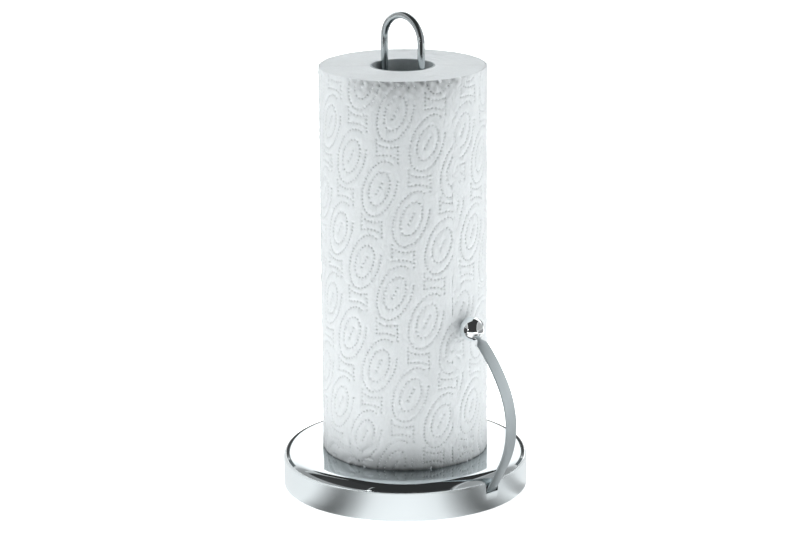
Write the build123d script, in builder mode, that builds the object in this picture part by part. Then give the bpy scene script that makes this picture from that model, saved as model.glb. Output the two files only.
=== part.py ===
"""Free-standing paper towel holder: weighted round base, bent-wire spindle, sprung arm, and its roll.

Millimetres, +Z up. The origin is the centre of the underside. The arm leaves the base at +X, so the
spindle loop and the arm lie in the XZ plane. Arm angles are headings: degrees from +Z towards +X.
"""
from build123d import *

import os
from math import cos, radians, sin, tan

# ---- driving dimensions ----------------------------------------------------------------------------

# base
base_radius = 82.0
base_top = 26.6
skirt_bottom = 1.0
shell_wall = 0.8
shoulder_radius = 7.5
pad_radius = 74.0
cover_bottom = 2.0
cover_thickness = 1.5
cover_rim_height = 3.5
ballast_radius = 73.0
ballast_thickness = 11.0
ballast_chamfer = 1.0
wall_gap = 0.6

# spindle loop
wire_radius = 2.4
leg_spacing = 34.4
loop_top = 322.0
thread_radius = 2.0
washer_radius = 4.5
washer_thickness = 0.8
lock_washer_radius = 3.8
lock_washer_thickness = 1.0
split_width = 0.8
nut_flats = 7.0
nut_height = 3.2
thread_tip = 1.0
thread_chamfer = 0.5
web_under_shell = 4.0
nut_pocket_radius = 7.0

# swinging arm
blade_width = 9.4
blade_thickness = 1.0
slot_height = 16.0
arm_lean = 29.6
straight_length = 19.5
bend_radius = 55.5
bend_angle = 58.7
tip_radius = 102.5
tip_angle = 18.9
neck_length = 10.2
tongue_width = 3.4
tongue_depth = 5.0
ball_radius = 8.0
swing_angle = 12.0

# hinge inside the base
pin_radius = 1.5
pin_head_radius = 2.5
pin_head_height = 1.0
pin_overrun = 0.8
clip_thickness = 0.8
hub_radius = 3.0
hub_below_slot = 6.0
running_fit = 0.05
seat_thickness = 2.0
seat_below_slot = 5.0
blade_below_slot = 13.0
rivets_below_slot = 10.9
rivet_spacing = 5.2
rivet_radius = 1.0
rivet_head_radius = 1.6
rivet_head_height = 0.6
tail_length = 9.0
tail_thickness = 2.0
side_gap = 0.4
lug_thickness = 1.5
lug_radius = 3.2
lug_drop = 4.6
bracket_start = 36.0
bracket_end = 60.0
spring_wire = 0.8
spring_turns = 3.5
spring_pitch = 0.9
spring_room = 4.8
spring_clearance = 0.3
spring_leg_reach = 7.0
spring_leg_lap = 2.5
spring_hook = 6.0

# screws
screw_radius = 2.0
screw_head_radius = 3.8
screw_head_height = 2.5
bracket_screw_length = 7.0
bracket_screw_head_radius = 3.5
bracket_screw_inset = 5.0
bracket_screw_outset = 6.0
cover_screw_circle = 50.0
cover_screw_bite = 7.0
cover_boss_radius = 5.5
head_recess = 4.0

# roll
roll_radius = 55.0
roll_height = 260.0
core_bore_radius = 20.2
core_wall = 1.0
sheet_thickness = 0.4
tail_edge_angle = -9.0
tail_wrap = 240.0

# ---- derived places --------------------------------------------------------------------------------

shell_inside_top = base_top - shell_wall
shell_inside_radius = base_radius - shell_wall
ballast_bottom = shell_inside_top - ballast_thickness
cover_top = cover_bottom + cover_thickness
washer_top = shell_inside_top - web_under_shell
leg_places = [(-leg_spacing / 2, 0), (leg_spacing / 2, 0)]
half_blade = blade_thickness / 2


def heading(angle):
    """Unit vector in the arm's plane, turned by angle from +Z towards +X."""
    return Vector(sin(radians(angle)), cos(radians(angle)))


def inward(angle):
    """Unit vector square to a heading, on the roll's side of the blade."""
    return Vector(-cos(radians(angle)), sin(radians(angle)))


slot_point = Vector(base_radius, slot_height)
pivot = slot_point - heading(arm_lean) * hub_below_slot + inward(arm_lean) * (half_blade + hub_radius)


def swung(point, angle):
    """A point of the arm's plane after the arm swings outward by angle."""
    arm = point - pivot
    turned = Vector(
        arm.X * cos(radians(angle)) + arm.Y * sin(radians(angle)),
        arm.Y * cos(radians(angle)) - arm.X * sin(radians(angle)),
    )
    return pivot + turned


def height_on_line(point, angle, x):
    """Height at x of the line through a point with the given heading."""
    return point.Y + (x - point.X) / tan(radians(angle))


def along_y(low, high):
    """The arm's plane at y = low, and the length to extrude to reach y = high."""
    return Plane.XZ.offset(-high), high - low


# ---- base ------------------------------------------------------------------------------------------

# Slot wall lines: the blade's roll side at rest, and its outer side at full swing.
slot_inside = base_radius - 2.0
slot_outside = base_radius + 1.0
slot_clearance = 0.4
upper_point = slot_point + inward(arm_lean) * (half_blade + slot_clearance)
lower_point = swung(slot_point - inward(arm_lean) * (half_blade + slot_clearance), swing_angle)
slot_corners = [
    (slot_inside, height_on_line(lower_point, arm_lean + swing_angle, slot_inside)),
    (slot_outside, height_on_line(lower_point, arm_lean + swing_angle, slot_outside)),
    (slot_outside, height_on_line(upper_point, arm_lean, slot_outside)),
    (slot_inside, height_on_line(upper_point, arm_lean, slot_inside)),
]

with BuildPart() as base_shell:
    with BuildSketch(Plane.XY.offset(skirt_bottom)):
        Circle(base_radius)
    extrude(amount=base_top - skirt_bottom)
    fillet(base_shell.edges().group_by(Axis.Z)[-1], shoulder_radius)
    offset(amount=-shell_wall, openings=base_shell.faces().sort_by(Axis.Z)[0])
    with BuildSketch(Plane.XY.offset(shell_inside_top)):
        with Locations(*leg_places):
            Circle(thread_radius)
    extrude(amount=shell_wall, mode=Mode.SUBTRACT)
    with BuildSketch(Plane.XZ):
        Polygon(*slot_corners, align=None)
    extrude(amount=blade_width / 2 + 2 * side_gap, both=True, mode=Mode.SUBTRACT)

first_screw_angle = 60
hinge_notch_start = bracket_end - 1.0
hinge_notch_width = 34.0
bracket_middle = (spring_room - side_gap) / 2
bracket_screw_places = [
    (bracket_start + bracket_screw_inset, bracket_middle),
    (bracket_end - bracket_screw_outset, bracket_middle),
]

with BuildPart() as ballast_weight:
    with BuildSketch(Plane.XY.offset(ballast_bottom)):
        Circle(ballast_radius)
        with Locations((hinge_notch_start, 0)):
            Rectangle(
                ballast_radius, hinge_notch_width, align=(Align.MIN, Align.CENTER), mode=Mode.SUBTRACT
            )
    extrude(amount=ballast_thickness)
    chamfer(ballast_weight.edges().filter_by(GeomType.CIRCLE), ballast_chamfer)
    with BuildSketch(Plane.XY.offset(ballast_bottom)):
        with Locations(*leg_places):
            Circle(nut_pocket_radius)
    extrude(amount=washer_top - ballast_bottom, mode=Mode.SUBTRACT)
    with BuildSketch(Plane.XY.offset(washer_top)):
        with Locations(*leg_places):
            Circle(thread_radius)
    extrude(amount=web_under_shell, mode=Mode.SUBTRACT)
    with BuildSketch(Plane.XY.offset(ballast_bottom)):
        with PolarLocations(cover_screw_circle, 3, start_angle=first_screw_angle):
            Circle(screw_radius)
        with Locations(*bracket_screw_places):
            Circle(screw_radius)
    extrude(amount=cover_screw_bite, mode=Mode.SUBTRACT)

with BuildPart() as bottom_cover:
    with BuildSketch(Plane.XY.offset(cover_bottom)):
        Circle(shell_inside_radius - wall_gap)
    extrude(amount=cover_thickness)
    with BuildSketch(Plane.XY.offset(cover_top)):
        Circle(shell_inside_radius - wall_gap)
        Circle(shell_inside_radius - wall_gap - cover_thickness, mode=Mode.SUBTRACT)
    extrude(amount=cover_rim_height)
    with BuildSketch(Plane.XY.offset(cover_top)):
        with PolarLocations(cover_screw_circle, 3, start_angle=first_screw_angle):
            Circle(cover_boss_radius)
    extrude(amount=ballast_bottom - cover_top)
    with BuildSketch(Plane.XY.offset(cover_bottom)):
        with PolarLocations(cover_screw_circle, 3, start_angle=first_screw_angle):
            Circle(screw_head_radius)
    extrude(amount=head_recess, mode=Mode.SUBTRACT)
    with BuildSketch(Plane.XY.offset(cover_bottom + head_recess)):
        with PolarLocations(cover_screw_circle, 3, start_angle=first_screw_angle):
            Circle(screw_radius)
    extrude(amount=ballast_bottom - cover_bottom - head_recess, mode=Mode.SUBTRACT)

with BuildPart() as cover_screws:
    with BuildSketch(Plane.XY.offset(cover_bottom + head_recess - screw_head_height)):
        with PolarLocations(cover_screw_circle, 3, start_angle=first_screw_angle):
            Circle(screw_head_radius)
    extrude(amount=screw_head_height)
    with BuildSketch(Plane.XY.offset(cover_bottom + head_recess)):
        with PolarLocations(cover_screw_circle, 3, start_angle=first_screw_angle):
            Circle(screw_radius)
    extrude(amount=ballast_bottom + cover_screw_bite - cover_bottom - head_recess)

with BuildPart() as anti_slip_pad:
    with BuildSketch(Plane.XY):
        Circle(pad_radius)
    extrude(amount=cover_bottom)

# ---- spindle ---------------------------------------------------------------------------------------

arch_radius = leg_spacing / 2
arch_centre = loop_top - wire_radius - arch_radius
lock_washer_top = washer_top - washer_thickness
nut_top = lock_washer_top - lock_washer_thickness
thread_bottom = nut_top - nut_height - thread_tip

with BuildPart() as spindle_loop:
    with BuildLine(Plane.XZ) as loop_path:
        Line((arch_radius, base_top), (arch_radius, arch_centre))
        CenterArc((0, arch_centre), arch_radius, 0, 180)
        Line((-arch_radius, arch_centre), (-arch_radius, base_top))
    with BuildSketch(Plane.XY.offset(base_top)):
        with Locations(leg_places[1]):
            Circle(wire_radius)
    sweep(path=loop_path.wires()[0])
    with BuildSketch(Plane.XY.offset(base_top)):
        with Locations(*leg_places):
            Circle(thread_radius)
    extrude(amount=thread_bottom - base_top)
    chamfer(spindle_loop.edges().group_by(Axis.Z)[0], thread_chamfer)

with BuildPart() as flat_washers:
    with BuildSketch(Plane.XY.offset(lock_washer_top)):
        with Locations(*leg_places):
            Circle(washer_radius)
            Circle(thread_radius, mode=Mode.SUBTRACT)
    extrude(amount=washer_thickness)

with BuildPart() as lock_washers:
    with BuildSketch(Plane.XY.offset(nut_top)):
        with Locations(*leg_places):
            Circle(lock_washer_radius)
            Circle(thread_radius, mode=Mode.SUBTRACT)
            Rectangle(
                2 * lock_washer_radius, split_width, align=(Align.MIN, Align.CENTER), mode=Mode.SUBTRACT
            )
    extrude(amount=lock_washer_thickness)

with BuildPart() as spindle_nuts:
    with BuildSketch(Plane.XY.offset(nut_top - nut_height)):
        with Locations(*leg_places):
            RegularPolygon(nut_flats / 2, 6, major_radius=False)
            Circle(thread_radius, mode=Mode.SUBTRACT)
    extrude(amount=nut_height)

# ---- arm -------------------------------------------------------------------------------------------

# Drawn flat, with x outward and y upward, as on the arm's plane.
with BuildLine() as arm_line:
    straight = Line(
        slot_point - heading(arm_lean) * blade_below_slot,
        slot_point + heading(arm_lean) * straight_length,
    )
    bend = JernArc(straight @ 1, straight % 1, bend_radius, bend_angle)
    tip = JernArc(bend @ 1, bend % 1, tip_radius, tip_angle)
    tongue_end = neck_length - ball_radius + tongue_depth
    Line(tip @ 1, (tip @ 1) + (tip % 1) * tongue_end)


def upright(flat):
    """A flat vector of the arm's plane, stood up in the part's frame."""
    return Vector(flat.X, 0, flat.Y)


neck_start = upright(tip @ 1)
neck_direction = upright(tip % 1)
ball_centre = neck_start + neck_direction * neck_length
neck_plane = Plane(origin=neck_start, x_dir=(0, 1, 0), z_dir=Vector(0, 1, 0).cross(neck_direction))
chamfer_start = -2.0
chamfer_length = (blade_width - tongue_width) / 2
neck_corners = [
    (tongue_width / 2, 2 * tongue_end),
    (tongue_width / 2, chamfer_start + chamfer_length),
    (blade_width / 2, chamfer_start),
    (blade_width, chamfer_start),
    (blade_width, 2 * tongue_end),
]


with BuildPart() as arm_blade:
    with BuildSketch(Plane.XZ):
        with BuildLine():
            add(arm_line.line)
            offset(amount=half_blade, side=Side.BOTH, kind=Kind.INTERSECTION)
        make_face()
    extrude(amount=blade_width / 2, both=True)
    with BuildSketch(neck_plane):
        Polygon(*neck_corners, align=None)
        mirror(about=Plane.YZ)
    extrude(amount=3 * blade_thickness, both=True, mode=Mode.SUBTRACT)

with BuildPart() as arm_ball:
    with Locations(ball_centre):
        Sphere(ball_radius)
    with BuildSketch(neck_plane):
        Rectangle(tongue_width, tongue_end + half_blade, align=(Align.CENTER, Align.MIN))
    extrude(amount=half_blade, both=True, mode=Mode.SUBTRACT)

seat_top = slot_point - heading(arm_lean) * seat_below_slot
seat_bottom = slot_point - heading(arm_lean) * blade_below_slot
seat_near = inward(arm_lean) * half_blade
seat_far = inward(arm_lean) * (half_blade + seat_thickness)

with BuildPart() as arm_lever:
    with BuildSketch(Plane.XZ):
        with Locations(pivot):
            Circle(hub_radius)
            Rectangle(tail_length, tail_thickness, align=(Align.MAX, Align.CENTER))
        Polygon(
            seat_top + seat_near,
            seat_bottom + seat_near,
            seat_bottom + seat_far,
            seat_top + seat_far,
            align=None,
        )
        with Locations(pivot):
            Circle(pin_radius + running_fit, mode=Mode.SUBTRACT)
    extrude(amount=blade_width / 2, both=True)

rivet_point = slot_point - heading(arm_lean) * rivets_below_slot


def at_rivet(depth):
    """A plane square to the rivets, at a depth measured inward from the blade's middle."""
    point = rivet_point + inward(arm_lean) * depth
    direction = inward(arm_lean)
    return Plane(
        origin=(point.X, 0, point.Y), x_dir=(0, 1, 0), z_dir=(direction.X, 0, direction.Y)
    )


rivet_places = [(-rivet_spacing / 2, 0), (rivet_spacing / 2, 0)]
rivet_grip = blade_thickness + seat_thickness

with BuildPart() as blade_rivets:
    with BuildSketch(at_rivet(-half_blade)):
        with Locations(*rivet_places):
            Circle(rivet_radius)
    extrude(amount=rivet_grip)
    with BuildSketch(at_rivet(-half_blade)):
        with Locations(*rivet_places):
            Circle(rivet_head_radius)
    extrude(amount=-rivet_head_height)
    with BuildSketch(at_rivet(half_blade + seat_thickness)):
        with Locations(*rivet_places):
            Circle(rivet_head_radius)
    extrude(amount=rivet_head_height)

for riveted in (arm_blade, arm_lever):
    with riveted:
        with BuildSketch(at_rivet(-half_blade)):
            with Locations(*rivet_places):
                Circle(rivet_radius)
        extrude(amount=rivet_grip, mode=Mode.SUBTRACT)

# ---- hinge -----------------------------------------------------------------------------------------

lug_low_side = -blade_width / 2 - side_gap
lug_high_side = blade_width / 2 + spring_room
web_bottom = ballast_bottom - lug_thickness

with BuildPart() as pivot_bracket:
    with BuildSketch(Plane.XY.offset(web_bottom)):
        with Locations((bracket_start, lug_low_side - lug_thickness)):
            Rectangle(
                bracket_end - bracket_start,
                lug_high_side - lug_low_side + 2 * lug_thickness,
                align=(Align.MIN, Align.MIN),
            )
        with Locations(*bracket_screw_places):
            Circle(screw_radius, mode=Mode.SUBTRACT)
    extrude(amount=lug_thickness)
    for low in (lug_low_side - lug_thickness, lug_high_side):
        lug_plane, lug_length = along_y(low, low + lug_thickness)
        with BuildSketch(lug_plane):
            with Locations((bracket_end, ballast_bottom)):
                Rectangle(bracket_end - hinge_notch_start, lug_drop, align=(Align.MAX, Align.MAX))
            with Locations(pivot):
                Circle(lug_radius)
            make_hull()
            with Locations((bracket_start, ballast_bottom)):
                Rectangle(bracket_end - bracket_start, lug_drop, align=(Align.MIN, Align.MAX))
            with Locations(pivot):
                Circle(pin_radius, mode=Mode.SUBTRACT)
        extrude(amount=lug_length)

with BuildPart() as bracket_screws:
    with BuildSketch(Plane.XY.offset(web_bottom - screw_head_height)):
        with Locations(*bracket_screw_places):
            Circle(bracket_screw_head_radius)
    extrude(amount=screw_head_height)
    with BuildSketch(Plane.XY.offset(web_bottom)):
        with Locations(*bracket_screw_places):
            Circle(screw_radius)
    extrude(amount=bracket_screw_length)

pin_low = lug_low_side - lug_thickness
pin_high = lug_high_side + lug_thickness

with BuildPart() as hinge_pin:
    shaft_plane, shaft_length = along_y(pin_low, pin_high + clip_thickness + pin_overrun)
    with BuildSketch(shaft_plane):
        with Locations(pivot):
            Circle(pin_radius)
    extrude(amount=shaft_length)
    head_plane, head_length = along_y(pin_low - pin_head_height, pin_low)
    with BuildSketch(head_plane):
        with Locations(pivot):
            Circle(pin_head_radius)
    extrude(amount=head_length)

with BuildPart() as pin_clip:
    clip_plane, clip_length = along_y(pin_high, pin_high + clip_thickness)
    with BuildSketch(clip_plane):
        with Locations(pivot):
            Circle(lug_radius)
            Circle(pin_radius, mode=Mode.SUBTRACT)
            Rectangle(2 * lug_radius, pin_radius, align=(Align.MIN, Align.CENTER), mode=Mode.SUBTRACT)
    extrude(amount=clip_length)

coil_radius = pin_radius + spring_clearance + spring_wire / 2
coil_start = blade_width / 2 + side_gap + spring_wire / 2
tail_top = pivot.Y + (tail_thickness + spring_wire) / 2 + running_fit
web_underside = web_bottom - spring_wire / 2

with BuildPart() as torsion_spring:
    with BuildLine() as coil_line:
        coil = Helix(
            pitch=spring_pitch,
            height=spring_turns * spring_pitch,
            radius=coil_radius,
            center=(pivot.X, coil_start, pivot.Y),
            direction=(0, 1, 0),
        )
        rest_leg = Line(coil @ 1, (bracket_end - spring_leg_lap, (coil @ 1).Y, web_underside))
        push_leg = Line((pivot.X - spring_leg_reach, coil_start, tail_top), coil @ 0)
        hook = Line((push_leg @ 0) - Vector(0, spring_hook, 0), push_leg @ 0)
    for run in (coil, rest_leg, push_leg, hook):
        with BuildSketch(Plane(origin=run @ 0, z_dir=run % 0)):
            Circle(spring_wire / 2)
        sweep(path=run, is_frenet=True)
    for joint in (coil @ 1, push_leg @ 0):
        with Locations(joint):
            Sphere(spring_wire / 2)

# ---- roll ------------------------------------------------------------------------------------------

core_outer_radius = core_bore_radius + core_wall

with BuildPart() as cardboard_core:
    with BuildSketch(Plane.XY.offset(base_top)):
        Circle(core_outer_radius)
        Circle(core_bore_radius, mode=Mode.SUBTRACT)
    extrude(amount=roll_height)

with BuildPart() as paper_roll:
    with BuildSketch(Plane.XY.offset(base_top)):
        Circle(roll_radius - sheet_thickness)
        Circle(core_outer_radius + running_fit, mode=Mode.SUBTRACT)
    extrude(amount=roll_height)

with BuildPart() as tail_sheet:
    with BuildSketch(Plane.XZ.rotated((0, 0, tail_edge_angle))):
        with Locations((roll_radius - sheet_thickness, base_top)):
            Rectangle(sheet_thickness, roll_height, align=(Align.MIN, Align.MIN))
    revolve(axis=Axis.Z, revolution_arc=tail_wrap)

# ---- output ----------------------------------------------------------------------------------------

pieces = {
    "base_shell": base_shell,
    "ballast_weight": ballast_weight,
    "bottom_cover": bottom_cover,
    "cover_screws": cover_screws,
    "anti_slip_pad": anti_slip_pad,
    "spindle_loop": spindle_loop,
    "flat_washers": flat_washers,
    "lock_washers": lock_washers,
    "spindle_nuts": spindle_nuts,
    "arm_blade": arm_blade,
    "arm_ball": arm_ball,
    "arm_lever": arm_lever,
    "blade_rivets": blade_rivets,
    "pivot_bracket": pivot_bracket,
    "bracket_screws": bracket_screws,
    "hinge_pin": hinge_pin,
    "pin_clip": pin_clip,
    "torsion_spring": torsion_spring,
    "cardboard_core": cardboard_core,
    "paper_roll": paper_roll,
    "tail_sheet": tail_sheet,
}
os.makedirs("parts", exist_ok=True)
for name, piece in pieces.items():
    piece.part.label = name
    export_step(piece.part, f"parts/{name}.step")
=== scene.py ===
"""Looks of a free-standing paper towel holder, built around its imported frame.

Metres, +Z up, origin at the centre of the underside. The arm leaves the base at +X, so the spindle
loop and the arm lie in the XZ plane. Arm and wire headings run from +Z towards +X. Everything on
the roll is laid out flat first, as (along, up), and then rolled round the core.
"""

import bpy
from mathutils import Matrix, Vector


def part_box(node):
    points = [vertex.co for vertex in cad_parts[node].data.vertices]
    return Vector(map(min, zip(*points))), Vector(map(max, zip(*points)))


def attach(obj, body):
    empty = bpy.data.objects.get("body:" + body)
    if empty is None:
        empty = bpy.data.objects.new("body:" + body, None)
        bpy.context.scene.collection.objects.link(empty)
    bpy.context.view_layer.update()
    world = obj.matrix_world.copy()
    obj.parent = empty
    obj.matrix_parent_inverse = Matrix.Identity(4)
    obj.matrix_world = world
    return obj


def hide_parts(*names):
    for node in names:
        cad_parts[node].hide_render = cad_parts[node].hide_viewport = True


bl_info = {
    "name": "Paper Towel Holder",
    "version": (1, 0, 0),
    "blender": (4, 5, 0),
    "location": "View3D > Sidebar > Holder",
    "description": "Builds the visible pieces and finishes of a weighted paper towel holder",
    "category": "Add Mesh",
}

from math import cos, hypot, pi, radians, sin

import bmesh
import bpy
import numpy as np
from bpy.props import FloatProperty, FloatVectorProperty, IntProperty, PointerProperty
from mathutils import Matrix, Vector
from mathutils.geometry import delaunay_2d_cdt
from mathutils.kdtree import KDTree

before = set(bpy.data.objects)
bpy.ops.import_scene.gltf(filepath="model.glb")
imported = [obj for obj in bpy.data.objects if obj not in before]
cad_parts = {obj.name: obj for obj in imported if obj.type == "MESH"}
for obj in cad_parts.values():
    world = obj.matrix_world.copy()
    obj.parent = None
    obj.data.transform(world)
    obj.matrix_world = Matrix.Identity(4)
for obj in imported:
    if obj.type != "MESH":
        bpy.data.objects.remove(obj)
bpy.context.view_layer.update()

MM = 0.001
FRONT = radians(-39)  # heading of the roll's front, the side that faces the camera, where the paper is crumpled most and painted shade is laid; from +X towards +Y
CARD_WHITE = 1.05  # glow at the sides of a screen, as bright as the floor beside the base
CARD_STEPS = 16
DOME_HEIGHT = 0.1  # height of the middle of the dome that the screens hang on
ROW_SHARE = 0.866  # height of an even triangle, by which a staggered grid's rows are spaced
GOLDEN_ANGLE = radians(137.50776)
MOTIF_REACH = 26  # copies of the embossed motif on each side of the first

SHELL_LOW, SHELL_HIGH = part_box("base_shell")
PAD_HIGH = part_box("anti_slip_pad")[1]
LOOP_LOW, LOOP_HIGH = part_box("spindle_loop")
BLADE_LOW, BLADE_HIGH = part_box("arm_blade")
BALL_LOW, BALL_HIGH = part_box("arm_ball")
CORE_LOW, CORE_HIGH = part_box("cardboard_core")
ROLL_LOW, ROLL_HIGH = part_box("paper_roll")
BALL_CENTRE = (BALL_LOW + BALL_HIGH) / 2


# ---- settings --------------------------------------------------------------------------------------


def length(name, description, default):
    """A length property in metres."""
    return FloatProperty(name=name, description=description, default=default, unit="LENGTH", precision=5)


def turn(name, description, default):
    """An angle property, whose default is given in degrees."""
    return FloatProperty(name=name, description=description, default=radians(default), unit="ROTATION")


def tint(name, description, default):
    """A colour property."""
    return FloatVectorProperty(
        name=name, description=description, default=default, size=3, min=0, max=1, subtype="COLOR"
    )


class BaseSettings(bpy.types.PropertyGroup):
    """The weighted round base."""

    radius: length("Radius", "Outer radius of the steel shell", SHELL_HIGH.y)
    top: length("Top", "Height of the shell's flat top", SHELL_HIGH.z)
    skirt: length("Skirt", "Height of the shell's lower edge", SHELL_LOW.z)
    wall: length("Wall", "Thickness of the shell", 0.8 * MM)
    shoulder: length("Shoulder", "Radius between the top and the side wall", 7.5 * MM)
    slot_low: length("Slot low", "Lower edge of the arm's slot", 12.65 * MM)
    slot_high: length("Slot high", "Upper edge of the arm's slot", 17.82 * MM)
    slot_width: length("Slot width", "Width of the arm's slot", 11 * MM)
    stud: length("Stud", "Radius of the studs under the grip pad", 1.6 * MM)
    steel: tint("Steel", "Colour of the polished steel", (0.585, 0.63, 0.645))


class SpindleSettings(bpy.types.PropertyGroup):
    """The bent wire that carries the roll."""

    wire: length("Wire", "Radius of the wire", LOOP_HIGH.y)
    thread: length("Thread", "Radius of the threaded ends", 2.0 * MM)
    steel: tint("Steel", "Colour of the bright wire", (0.53, 0.575, 0.59))


class ArmSettings(bpy.types.PropertyGroup):
    """The sprung blade and its ball."""

    lean: turn("Lean", "Heading of the blade where it leaves the slot", 29.6)
    slot_height: length("Slot height", "Height at which the blade crosses the side wall", 16 * MM)
    below_slot: length("Below slot", "Blade length hidden in the base", 13 * MM)
    straight: length("Straight", "Straight blade length above the slot", 19.5 * MM)
    bend_radius: length("Bend radius", "Radius of the main bend", 55.5 * MM)
    bend: turn("Bend", "Angle of the main bend", 58.7)
    tip_radius: length("Tip radius", "Radius of the gentler bend at the tip", 102.5 * MM)
    tip: turn("Tip", "Angle of the bend at the tip", 18.9)
    neck: length("Neck", "Distance from the end of the bend to the ball's centre", 10.2 * MM)
    width: length("Width", "Width of the blade", BLADE_HIGH.y - BLADE_LOW.y)
    thickness: length("Thickness", "Thickness of the blade", 1.0 * MM)
    edge: length("Edge", "Rounding of the blade's edges", 0.22 * MM)
    tongue: length("Tongue", "Width of the tongue that enters the ball", 3.4 * MM)
    tongue_depth: length("Tongue depth", "How far the tongue enters the ball", 5 * MM)
    taper_start: length("Taper start", "Where the blade's corners start to narrow, before the neck", 2 * MM)
    pocket: length("Pocket", "Play between the tongue and the ball's pocket", 0.4 * MM)
    blade: tint("Blade", "Colour of the satin blade", (0.5, 0.555, 0.575))
    chrome: tint("Chrome", "Colour of the chromed ball", (0.9, 0.94, 0.95))


class PaperSettings(bpy.types.PropertyGroup):
    """The roll of embossed paper."""

    edge_angle: turn("Free edge", "Heading of the free edge, from +X towards +Y", -9)
    wrap: turn("Outer sheet", "How far the outermost sheet reaches round the roll", 240)
    sheet: length("Sheet", "Thickness of one embossed sheet as it lies", 0.4 * MM)
    pin_pitch: length("Pin pitch", "Distance between embossed dots", 2.35 * MM)
    pin_radius: length("Pin radius", "Radius of an embossed dot", 0.85 * MM)
    pin_depth: length("Pin depth", "Depth of an embossed dot", 0.7 * MM)
    pillow: length("Pillow", "How far the paper swells between dots", 0.6 * MM)
    lean: turn("Motif lean", "How far the ovals lean to the right", 20)
    step_across: FloatVectorProperty(
        name="Step across", description="From one oval to the next to its lower right",
        default=(20.5 * MM, -19.5 * MM, 0), unit="LENGTH",
    )
    step_down: FloatVectorProperty(
        name="Step down", description="From one oval to the next below it",
        default=(-10.8 * MM, -49.5 * MM, 0), unit="LENGTH",
    )
    turns: IntProperty(name="Turns", description="Turns of paper seen on the end faces", default=66)
    white: tint("White", "Colour of the paper", (0.742, 0.772, 0.785))
    board: tint("Board", "Colour of the cardboard core", (0.33, 0.36, 0.37))


class StageSettings(bpy.types.PropertyGroup):
    """The camera, the lights and the floor."""

    distance: length("Distance", "Camera's level distance from the holder's axis", 1.8638)
    height: length("Height", "Camera's height", 0.659)
    azimuth: turn("Azimuth", "Camera's heading round the holder", 46)
    pitch: turn("Pitch", "How far the camera looks down", 15.26)
    aside: turn("Aside", "How far the camera looks to the left of the axis", 0.083)
    roll: turn("Roll", "How far the camera leans to its left", -0.4)
    lens: FloatProperty(name="Lens", description="Focal length in millimetres", default=131.0)
    sky: FloatProperty(name="Sky", description="Strength of the even light", default=0.22)
    far_glow: FloatProperty(name="Far glow", description="Light given by the far floor", default=0.2)
    near_glow: FloatProperty(name="Near glow", description="Light given by the near floor", default=0.95)
    left_light: FloatProperty(name="Left light", description="Power of the left soft box", default=31.0)
    right_light: FloatProperty(name="Right light", description="Power of the right soft box", default=33.0)
    top_light: FloatProperty(name="Top light", description="Power of the soft box overhead", default=43.0)


class HolderSettings(bpy.types.PropertyGroup):
    """All settings of the holder."""

    base: PointerProperty(type=BaseSettings)
    spindle: PointerProperty(type=SpindleSettings)
    arm: PointerProperty(type=ArmSettings)
    paper: PointerProperty(type=PaperSettings)
    stage: PointerProperty(type=StageSettings)


# ---- node trees ------------------------------------------------------------------------------------


def arithmetic(operation, swapped=False):
    """A method that adds one Math node to the wire's tree."""

    def act(wire, other):
        pair = (other, wire) if swapped else (wire, other)
        return wire.graph.math(operation, *pair)

    return act


class Wire:
    """An output of a node, on which arithmetic adds Math nodes."""

    def __init__(self, graph, socket):
        self.graph, self.socket = graph, socket

    def output(self, name):
        """Another output of the same node."""
        return Wire(self.graph, self.socket.node.outputs[name])

    __add__ = __radd__ = arithmetic("ADD")
    __mul__ = __rmul__ = arithmetic("MULTIPLY")
    __sub__, __rsub__ = arithmetic("SUBTRACT"), arithmetic("SUBTRACT", swapped=True)
    __truediv__ = arithmetic("DIVIDE")
    __mod__ = arithmetic("FLOORED_MODULO")


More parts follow.
